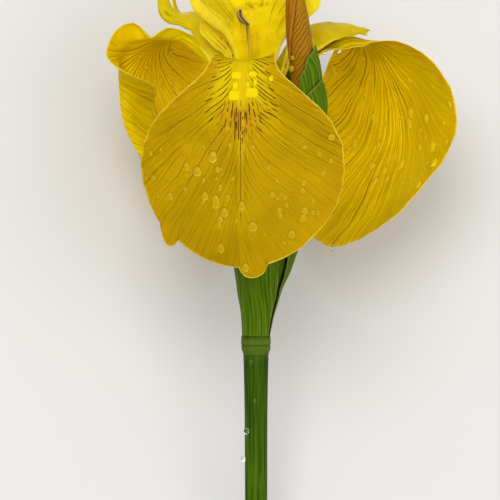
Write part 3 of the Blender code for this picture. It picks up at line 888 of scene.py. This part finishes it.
for side, arm in arms.items():
    lip_at, lip_half = arm["lip"]

    def half_width(s, t, length, arm=arm):
        """The arm's half width, a little uneven."""
        return arm["half"](s) * (1 + 0.02 * mottle(s * length, 9 * np.sign(t), 6, 5))

    def lift(s, t, a, b, lip_at=lip_at, lip_half=lip_half):
        """A keel down the middle, frills towards the crest, and the lip's ridge across it."""
        ridge = 0.3 * ease(b, lip_at - 2.0, lip_at) * (1 - ease(b, lip_at, lip_at + 0.8))
        lip = ridge * (1 - ease(np.abs(a), lip_half, lip_half + 1))
        frill = 0.5 * np.sin(2.1 * a + 0.4 * b) * ease(s, 0.7, 1.0) * ease(np.abs(t), 0.2, 0.6)
        keel = 0.5 * np.exp(-((a / 1.1) ** 2)) * (1 - ease(s, 0.6, 0.8))
        return frill + keel + lip + 0.12 * mottle(a, b, 5, 41)

    grid, s, t, a, b, margin = petal(
        arm["midrib"], arm["azimuth"], half_width, lambda s, t, arm=arm: -arm["vault"] * t, lift,
        reach=crest, rows=120, columns=90, tip=1,
    )
    points, quads, _ = shell(grid, 0.2 + 0.45 * ease(margin, 0, 3) * (1 - 0.5 * ease(s, 0.6, 0.9)))
    beside = a - arm["mouth"]
    from_lip = (b - lip_at + 0.7 + 0.04 * beside**2) / 0.55
    shade = np.exp(-(from_lip**2)) * (1 - ease(np.abs(beside), 1.8, 3.6))
    # Painted shade along the furrow, on the front arm only.
    painted_furrow_shade = arm["painted_furrow_shade"] * np.exp(-(((a - 0.4) / 0.7) ** 2)) * (1 - ease(b, 17, 22))
    made = piece(
        "style_arm_shell_" + side, points, quads, arm_look,
        flat=twice(a, b, margin), glow=twice(shade, painted_furrow_shade, arm["lit"](a)),
    )
    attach(made, "root")
    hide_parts("style_arm_" + side)


# The three stamens, one under each style arm: a smooth pale thread grown onto the throat, and on its tip a
# brown two-lobed anther that splits down its length and shows beige pollen.

def along_radius(azimuth, points):
    """(outward, up) points turned to the azimuth."""
    turn = radians(azimuth)
    return [(AXIS_X + out * np.sin(turn), up, out * np.cos(turn)) for out, up in points]


# Each stamen: its azimuth, the thread's (outward, up) points and the anther's own points
threads = {
    "front": (
        -14, [(3.9, base), (5.6, -5), (8.2, 2), (10.3, 7.2), (11.2, 8.2)],
        [(-2.1, 7.9, 10.9), (-3.2, 8.9, 11.2), (-3.95, 10.1, 11.3), (-4.0, 11.6, 11.2)],
    ),
    "right": (
        RIGHT, [(3.9, base), (6.8, -5), (12, 1), (18, 5), (19.4, 5.8)],
        along_radius(RIGHT, [(18.9, 5.6), (23, 6.9), (27, 7.6)]),
    ),
    "left": (
        LEFT, [(3.9, base), (6, -5), (10.5, 1), (15, 5.6), (16.3, 6.5)],
        along_radius(LEFT, [(15.8, 6.3), (19.4, 8), (23, 9.2)]),
    ),
}
anther_girth = profile((0, 0.7), (0.15, 1.1), (0.8, 0.95), (1, 0.5))


def thread_surface(s, turn):
    """A thin round thread, faintly fluted."""
    return 0.5 + 0.03 * np.cos(3 * turn + 5 * s)


def anther_surface(s, turn):
    """Two lobes with a deep groove between them on each face, and a split along each lobe."""
    split = 0.10 * np.abs(np.sin(turn)) ** 9 * ease(s, 0.05, 0.2)
    return anther_girth(s) * (1 + 0.22 * np.cos(2 * turn) - split)


thread_look = Look(
    "thread_yellow", Roughness=0.35, Specular_IOR_Level=0.35, Subsurface_Weight=0.3, Subsurface_Scale=0.0008,
)
x, z, along = thread_look.read("grain")
streak = thread_look.noise(x, z, along * 0.1, scale=4.0)
s, cut, _ = thread_look.read("place")
colour = thread_look.mix(streak, (0.74, 0.53, 0.006), (0.60, 0.41, 0.004))
# Painted shade: the thread's upper part darker down one side.
colour = thread_look.mix(s.rise(0.55, 1.0) * x.rise(0.35, -0.35), colour, (0.20, 0.075, 0.006))
colour = thread_look.mix(s.rise(0.70, 1.0) * 0.45, colour, (0.36, 0.19, 0.012))
thread_look.paint(colour, streak, 0.05)

anther_look = Look("anther_brown", Roughness=0.62, Specular_IOR_Level=0.25)
x, z, along = anther_look.read("grain")
pollen = anther_look.noise(x, z, along, scale=7.0, detail=3)
wave = anther_look.noise(along, scale=0.8, detail=1) * 0.3
stripe = (abs(x + 0.52 - wave)).rise(0.30, 0.16) + (abs(x - 0.40 - wave)).rise(0.26, 0.12)
colour = anther_look.mix(pollen, (0.045, 0.013, 0.004), (0.10, 0.035, 0.008))
colour = anther_look.mix(stripe * (0.45 + 0.5 * pollen), colour, (0.52, 0.36, 0.13))
anther_look.paint(colour, pollen + stripe, 0.15)

for side, (azimuth, thread, anther) in threads.items():
    thread = along_radius(azimuth, thread)
    for name, line, surface, sides, look, node, slot in (
        ("thread_", thread, thread_surface, 20, thread_look, "filament_", "pale_yellow"),
        ("anther_lobes_", anther, anther_surface, 40, anther_look, "anther_", "anther_brown"),
    ):
        made = ring_piece(name + side, look, line, surface, 60, sides)
        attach(made, "root")
        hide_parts(node + side)


# The second bud: the next flower, still rolled shut. Its petals wrap round each other in a long spiral, so
# an edge runs up it from the sheath, smooth orange-brown on one side and finely veined on the other.

bud_line = [
    (1.3, -69.2, 0.6), (2.8, -60, 1.0), (5.8, -48, 3.2), (9.2, -32, 7.5), (11.3, -15, 11.8),
    (11.3, -4, 14), (10.4, 5, 15.2), (9.4, 16, 16.2), (8.6, 27, 16.5),
]
bud_girth = profile(
    (0, 0.5), (0.2, 0.9), (0.4, 1.7), (0.58, 2.5), (0.72, 3.05), (0.8, 3.0), (0.89, 2.1), (0.96, 1), (1, 0.25),
)


def petals_passed(s, turn):
    """Petals passed on the way round to this angle, two to a turn. Their free edges lie at the whole
    numbers, in a slow spiral along the bud."""
    return turn / np.pi + 3.02 - 2.35 * s


def bud_surface(s, turn):
    """The girth, each petal's free edge standing proud of the next one under it, with shallow folds along
    it."""
    lap = petals_passed(s, turn) % 1.0
    return bud_girth(s) * (0.95 + 0.10 * lap**2 + 0.012 * np.cos(9 * turn + 7 * s))


bud_look = Look(
    "bud_orange", Roughness=0.45, Specular_IOR_Level=0.08, Subsurface_Weight=0.25, Subsurface_Scale=0.0008,
)
x, z, along = bud_look.read("grain")
lap, s, outer = bud_look.read("wrap")
wobble = bud_look.noise(x, z, along * 0.3, scale=0.5)
slant = (lap * 8 - along * 0.5 + wobble * 1.6).math("FRACT")
patchy = bud_look.noise(x, z, along * 0.25, scale=0.8, detail=2)
vein = abs(slant - 0.5).rise(0.33, 0.48) * patchy.rise(0.3, 0.55)
long_vein = bud_look.noise(x * 1.6, z * 1.6, along * 0.05, scale=1.2, detail=3)
smooth = bud_look.mix(long_vein.rise(0.35, 0.7), (0.24, 0.078, 0.001), (0.36, 0.135, 0.001))
veined = bud_look.mix(vein * 0.8, (0.32, 0.15, 0.001), (0.13, 0.045, 0.001))
colour = bud_look.mix(outer, smooth, veined)
colour = bud_look.mix((1 - s.rise(0.45, 0.68)) * 0.75, colour, (0.12, 0.155, 0.005))
colour = bud_look.mix(lap.rise(0.95, 0.99) * 0.5, colour, (0.55, 0.33, 0.03))
# Painted shadow just under each petal's free edge.
colour = bud_look.mix((1 - lap.rise(0.02, 0.07)) * 0.6, colour, (0.10, 0.03, 0.001))
bud_look.paint(colour, long_vein * 0.5 - vein * outer, 0.16)

BUD_SIDES = 120
grid, grain, s, _ = rings(bud_line, bud_surface, 200, BUD_SIDES)
passed = petals_passed(s, np.arange(BUD_SIDES) * 2 * np.pi / BUD_SIDES)
lap, outer = passed % 1.0, 1.0 * (passed % 2.0 >= 1.0)
quads, ends = ring_faces(grid)
bud = piece("bud_rolled", grid, quads, bud_look, ends, grain=grain, wrap=np.stack([lap, s, outer], -1))
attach(bud, "root")
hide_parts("bud")


# The green bracts: two boat-shaped valves of the flower's sheath and the bud's own bract inside them. Each
# is one stiff leaf, ribbed lengthwise, wrapped round what it carries and open at a thin, dry, paler margin.

def sheath(points, radius, spread, facing, keel=0.06, rows=130, columns=80):
    """Grid of a bract wrapped round a path: at s along it and t from -1 to 1 across it the point is path(s)
    + r * (sin turn, 0, cos turn), with r = radius(s) * (1 + keel * (1 - |t|)^2) and turn = facing(s) +
    spread(s) * t. Returns the grid and the millimetres across, along and to the nearest margin."""
    s, t = np.meshgrid(np.linspace(0, 1, rows + 1), np.linspace(-1, 1, columns + 1), indexing="ij")
    path = smooth_path(points)
    x, y, z = read_path(path, s)
    width = radius(s) * np.radians(spread(s))
    across, along = width * t, s * path_length(path)
    ribs = 0.045 * np.cos(4.6 * radius(s) * np.radians(spread(s)) * t) * ease(s, 0.02, 0.15)
    keeled = radius(s) * (1 + keel * (1 - np.abs(t)) ** 2 * ease(s, 0, 0.5))
    r = keeled + ribs + 0.10 * mottle(across, along, 9, 71)
    turn = np.radians(facing(s) + spread(s) * t)
    slant = np.gradient(width, axis=0) / np.gradient(along, axis=0)
    margin = width * (1 - np.abs(t)) / np.hypot(1, slant)
    return np.stack([x + r * np.sin(turn), y, z + r * np.cos(turn)], -1), across, along, margin


# Each bract: its path, and its radius, spread and facing along it
low = [(1.3, NODE + SEAT_GAP, 0.6), *bud_line[1:6]]
bracts = {
    "bud_bract": (
        [*low, (10.7, 2.6, 14.9)],
        profile((0, 1.1), (0.2, 1.9), (0.5, 3.3), (0.75, 4.2), (0.9, 4.35), (1, 3.6)),
        profile((0, 120), (0.4, 150), (0.72, 155), (0.87, 138), (0.915, 116), (0.958, 80), (1, 1)),
        profile((0, 150), (0.5, 138), (0.87, 126), (0.958, 103), (1, 86)),
    ),
    "inner_spathe": (
        [*low[:-1], (11.3, -6, 13.6)],
        profile((0, 2.05), (0.15, 2.7), (0.35, 4.3), (0.7, 5.4), (0.88, 5.6), (1, 5.4)),
        profile((0, 45), (0.15, 60), (0.4, 95), (0.75, 110), (0.88, 95), (0.94, 62), (1, 1)),
        profile((0, 140), (0.5, 108), (0.85, 84), (1, 58)),
    ),
    "outer_spathe": (
        [(0.1, NODE + SEAT_GAP, 0), (0.6, -60, 0.6), (0.9, -50, 1.8), (0, -38, 2.2), (-1, -24, 2)],
        profile((0, 3.35), (0.15, 4.1), (0.3, 5.6), (0.5, 6.6), (0.8, 7.4), (1, 7.6)),
        profile((0, 100), (0.25, 98), (0.45, 80), (0.75, 50), (1, 1)), lambda s: -40 + 0 * s,
    ),
}
bract_look = Look(
    "bract_green", Roughness=0.48, Specular_IOR_Level=0.05, Subsurface_Weight=0.15, Subsurface_Scale=0.0006,
)
across, along, margin = bract_look.read("flat")
sway = bract_look.noise(across * 0.2, along * 0.08, scale=1.0) * 0.8
rib = abs((across * 1.25 + sway).math("FRACT") - 0.5)
streak = bract_look.noise(across * 1.4, along * 0.05, scale=1.3, detail=4)
blotch = bract_look.noise(across, along * 0.4, scale=0.22, detail=3)
colour = bract_look.mix(streak.rise(0.32, 0.68), (0.038, 0.092, 0.0008), (0.125, 0.205, 0.002))
colour = bract_look.mix(blotch.rise(0.55, 0.75) * 0.5, colour, (0.055, 0.125, 0.004))
colour = bract_look.mix(rib.rise(0.40, 0.49) * 0.45, colour, (0.030, 0.075, 0.002))
colour = bract_look.mix((1 - margin.rise(0.10, 0.5)) * 0.5, colour, (0.22, 0.235, 0.03))
bract_look.paint(colour, streak * 0.5 - rib.rise(0.36, 0.49) * 0.6 + blotch * 0.4, 0.16)

for name, shape in bracts.items():
    grid, across, along, margin = sheath(*shape)
    points, quads, _ = shell(grid, 0.18 + 0.32 * ease(margin, 0, 2.0))
    made = piece(name + "_leaf", points, quads, bract_look, flat=twice(across, along, margin))
    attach(made, "root")
    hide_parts(name)


# Rain: drops of water that sit on the petals as low domes, painted in the petal's yellow with a painted
# highlight and painted shade, gather towards the lower margins, and hang as clear, nearly round beads where a
# margin holds one back.

drop_look = Look("water_clear", Roughness=0.08, IOR=1.22, Transmission_Weight=1.0)
drop_look.shader.inputs["Base Color"].default_value = (1, 1, 1, 1)


def petal_drop_look(name, yellow):
    """Water on a petal, painted in the yellow of the petal seen through it, with a painted highlight along
    its lower edge, where it gathers the light, and painted shade along its upper one."""
    look = Look(name, Roughness=0.14, Specular_IOR_Level=0.12)
    _, down, up = look.read("drop")
    edge = 1 - up.rise(0.30, 0.75)
    # Painted highlight along the lower edge, then painted shade along the upper one.
    colour = look.mix(down.rise(0.05, 0.7) * edge * 0.85, yellow, (0.92, 0.70, 0.03))
    colour = look.mix(down.rise(0.0, -0.6) * edge * 0.7, colour, tuple(0.35 * c for c in yellow))
    look.paint(colour)
    return look


def beads(centres, normals, lengthways, sizes, rows=9, sides=16, sink=0.3):
    """One dome for each centre: a ball of the sizes (across, along, high), flattened to sink of its height
    below the surface. Returns all the points, the faces with four and with three corners, and each point's
    place in its own ball."""
    v, turn = np.linspace(0, np.pi, rows + 1)[1:-1], np.arange(sides) * 2 * np.pi / sides
    v, turn = np.meshgrid(v, turn, indexing="ij")
    ball = np.stack([np.sin(v) * np.cos(turn), np.sin(v) * np.sin(turn), np.cos(v)], -1).reshape(-1, 3)
    ball = np.vstack([ball, (0, 0, 1), (0, 0, -1)])
    inside = np.tile(ball, (len(centres), 1))
    ball[:, 2] *= np.where(ball[:, 2] < 0, sink, 1)
    sideways = np.cross(lengthways, normals)
    axes = np.stack([sideways, lengthways, normals], 1) * sizes[:, :, None]
    points = centres[:, None] + np.einsum("pk,nkx->npx", ball, axes)
    circles, n = rows - 1, np.arange(sides)
    after = (n + 1) % sides
    quads = np.concatenate([
        np.stack([r * sides + n, r * sides + after, (r + 1) * sides + after, (r + 1) * sides + n], -1)
        for r in range(circles - 1)
    ])
    top, bottom, last = circles * sides, circles * sides + 1, (circles - 1) * sides
    caps = np.concatenate([
        np.stack([top + 0 * n, after, n], -1),
        np.stack([bottom + 0 * n, last + n, last + after], -1),
    ])
    step = np.arange(len(centres))[:, None, None] * len(ball)
    return points.reshape(-1, 3), (quads + step).reshape(-1, 4), (caps + step).reshape(-1, 3).tolist(), inside


def on_petal(sheet, found):
    """Middle, outward normal and downhill direction of drops at the found grid points of a petal."""
    point = sheet["grid"].reshape(-1, 3)[found]
    normal = sheet["normal"].reshape(-1, 3)[found]
    normal = normal * np.sign(normal[:, [2]])
    down = np.array([0.0, -1.0, 0.0]) - normal * -normal[:, [1]]
    return point + normal * 0.16, normal, down / np.linalg.norm(down, axis=1, keepdims=True)


# Single beads, each with its middle and its size. Some hang clear of the petals or stand on the stem, and
# two lie on the bud.
single = {
    "rain_beads": (drop_look, [
        (19.4, -46.7, -14.6, 1.15), (17.4, 3.2, -12.6, 0.9), (21.2, 3.7, -17.0, 0.75),
        (-1.2, -75.4, 2.9, 0.75), (-0.4, -85.0, 2.9, 0.6), (-2.4, -92.6, 2.6, 0.7), (-3.2, -99.5, 2.2, 0.6),
    ]),
    "rain_on_bud": (petal_drop_look("water_on_bud", (0.42, 0.21, 0.002)), [
        (8.9, -0.6, 17.2, 0.55), (8.7, -3.2, 16.9, 0.7),
    ]),
}
for name, (look, spots) in single.items():
    spots = np.array(spots)
    points, quads, caps, inside = beads(
        spots[:, :3], np.tile((0.0, 0.0, 1.0), (len(spots), 1)), np.tile((0.0, -1.0, 0.0), (len(spots), 1)),
        spots[:, [3]] * (0.95, 1.15, 0.8), sink=0.8,
    )
    made = piece(name, points, quads, look, caps, drop=inside)
    made.visible_shadow = look is not drop_look
    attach(made, "root")

FROM_MARGIN = 1.6  # the least distance of a drop's middle from the petal's margin
rng = np.random.default_rng(5)
# Each shower: how many drops at most, how far they lie from the midrib, their nearest and farthest run
# along it, the last a that they reach, and how bright the petal is under them, with its painted light and shade.
showers = {
    "front": (64, 25.0, 42.0, 76.0, 30, 1.0), "right": (60, 26.0, 38.0, 80.0, 30, 0.85),
    "left": (26, 20.0, 32.0, 62.0, 6, 0.8),
}
for side, (count, half, near, far_end, last, bright) in showers.items():
    sheet = made_falls[side]
    a, b = rng.uniform(-half, half, 3 * count), near + (far_end - near) * rng.uniform(0, 1, 3 * count) ** 0.75
    found = np.array([np.argmin((sheet["a"] - u) ** 2 + (sheet["b"] - v) ** 2) for u, v in zip(a, b)])
    found = found[(sheet["margin"].ravel()[found] > FROM_MARGIN) & (a < last)][:count]
    centres, normals, down = on_petal(sheet, found)
    size = 0.38 + 0.82 * rng.uniform(0, 1, len(found)) ** 2
    wide, long = rng.uniform(0.8, 1.1, len(found)), rng.uniform(0.95, 1.5, len(found))
    sizes = np.stack([size * wide, size * long, size * 0.38], -1)
    points, quads, caps, inside = beads(centres, normals, down, sizes)
    # The drops take the petal's yellow with its painted light and shade.
    look = petal_drop_look("water_on_" + side, tuple(bright * c for c in falls[side]["look"]["pale"]))
    made = piece("rain_" + side, points, quads, look, caps, drop=inside)
    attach(made, "root")


# The table, the light and the camera. The camera looks straight at the front petal, as if down on the table.

floor_look = Look("table_pale", Roughness=0.85, Specular_IOR_Level=0.2)
floor_look.shader.inputs["Base Color"].default_value = (0.64, 0.63, 0.61, 1)
floor_mesh = bpy.data.meshes.new("table")
REACH = 4.0  # metres from the middle to each side
corners = [(-REACH, -REACH, 0), (REACH, -REACH, 0), (REACH, REACH, 0), (-REACH, REACH, 0)]
floor_mesh.from_pydata(corners, [], [(0, 1, 2, 3)])
floor_mesh.materials.append(floor_look.material)
floor = bpy.data.objects.new("table", floor_mesh)
bpy.context.scene.collection.objects.link(floor)


def aim(thing, where, at):
    """Puts a camera or light at a point of the flower's frame, looking at another, the stem's top upwards."""
    eye, target = place(np.array(where, float)), place(np.array(at, float))
    back = (eye - target) / np.linalg.norm(eye - target)
    up = turn_down @ np.array([0.0, 1.0, 0.0])
    side = np.cross(up, back)
    side /= np.linalg.norm(side)
    spin = np.stack([side, np.cross(back, side), back], 1)
    thing.matrix_world = Matrix.Translation(eye) @ Matrix(spin.tolist()).to_4x4()
    bpy.context.scene.collection.objects.link(thing)


MIDDLE = (-1.5, -47.5, 0.0)
DISTANCE, FIELD = 700, 125  # the camera's distance, and the width that its picture shows there
SENSOR = 36
lens = bpy.data.cameras.new("camera")
lens.sensor_width = SENSOR
lens.lens = SENSOR * DISTANCE / FIELD
lens.clip_start, lens.clip_end = 0.01, 50
camera = bpy.data.objects.new("camera", lens)
aim(camera, (MIDDLE[0], MIDDLE[1], DISTANCE), MIDDLE)
bpy.context.scene.camera = camera

for name, where, size, power in (
    ("key", (-130, 330, 800), 0.6, 4.6), ("fill", (420, -60, 720), 0.7, 2.2),
):
    lamp = bpy.data.lights.new(name, "AREA")
    lamp.shape, lamp.size, lamp.energy = "DISK", size, power
    aim(bpy.data.objects.new(name, lamp), where, MIDDLE)

world = bpy.data.worlds.new("studio")
world.use_nodes = True
world.node_tree.nodes["Background"].inputs["Color"].default_value = (1, 1, 1, 1)
world.node_tree.nodes["Background"].inputs["Strength"].default_value = 0.66
bpy.context.scene.world = world
bpy.context.scene.view_settings.view_transform = "Standard"
